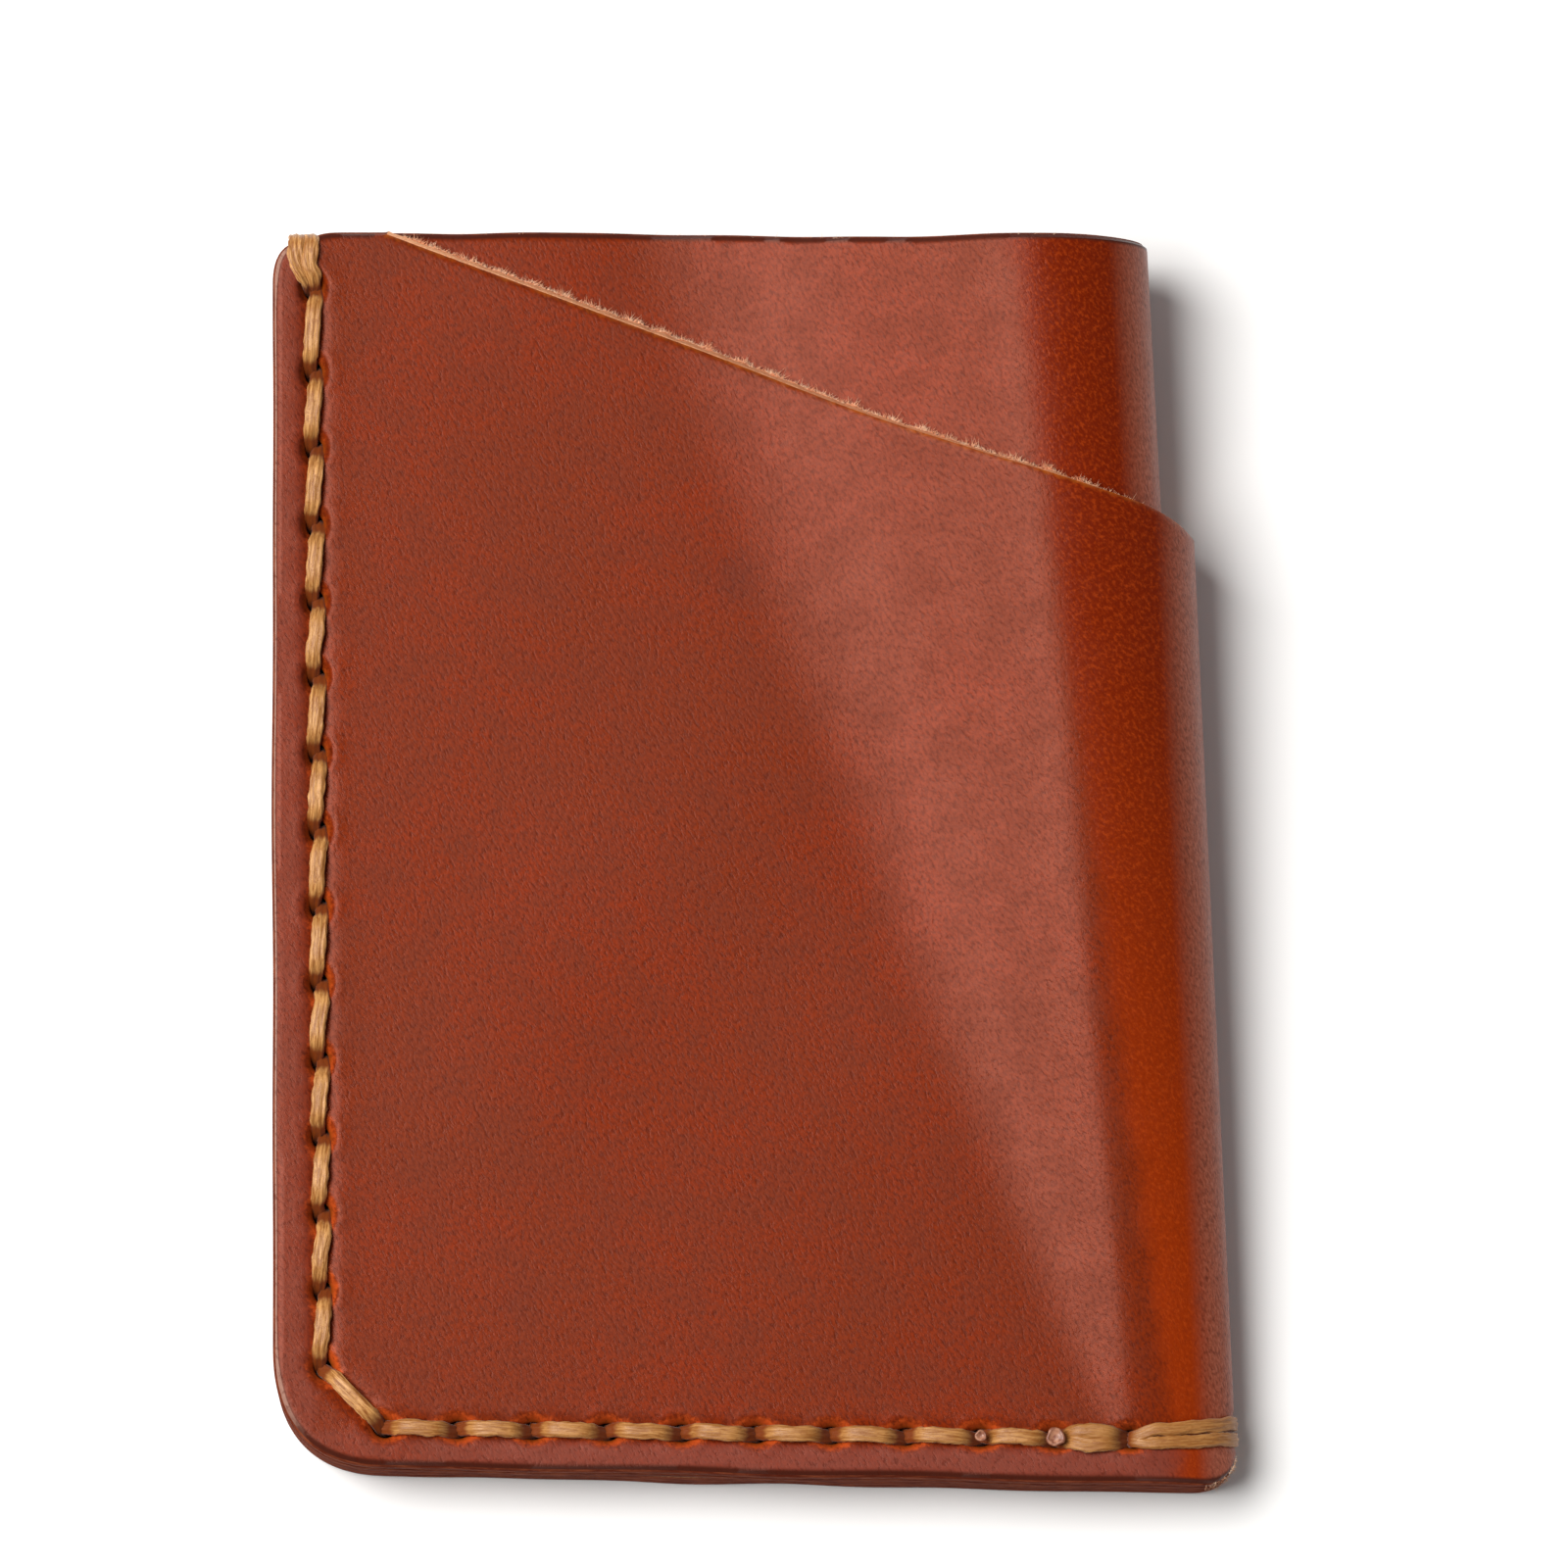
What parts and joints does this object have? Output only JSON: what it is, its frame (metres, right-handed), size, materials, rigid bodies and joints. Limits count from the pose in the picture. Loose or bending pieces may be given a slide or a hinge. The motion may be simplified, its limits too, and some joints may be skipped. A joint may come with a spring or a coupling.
{
  "type": "folded leather pocket wallet",
  "caption": "Slim folded leather pocket wallet, sewn along one side and the foot, with a slanted outer pocket wrapped round a full-height inner sleeve.",
  "frame": {"origin": "centre of the bounding box's bottom face; the wallet lies on its back wall at z = 0", "axes": "+X towards the folded side, +Y towards the mouth, +Z out of the front with the slanted pocket"},
  "size_m": [0.0765, 0.1003, 0.0149],
  "materials": {
    "wrap_leather": "reddish-brown vegetable-tanned leather, soft sheen",
    "sleeve_leather": "reddish-brown vegetable-tanned leather, soft sheen",
    "waxed_thread": "flat waxed amber thread",
    "melted_thread": "thread ends melted to small flat beads"
  },
  "bodies": {
    "root": {"outer_pocket_wrap": "wrap_leather", "inner_sleeve": "sleeve_leather", "side_seam_front_stitches": "waxed_thread", "side_seam_back_stitches": "waxed_thread", "foot_corner_stitches": "waxed_thread", "foot_seam_front_stitches": "waxed_thread", "foot_seam_back_stitches": "waxed_thread", "doubled_end_stitches": "waxed_thread", "mouth_corner_loop": "waxed_thread", "fold_edge_loops": "waxed_thread", "seam_hole_threads": "waxed_thread", "thread_end_beads": "melted_thread"}
  },
  "joints": []
}
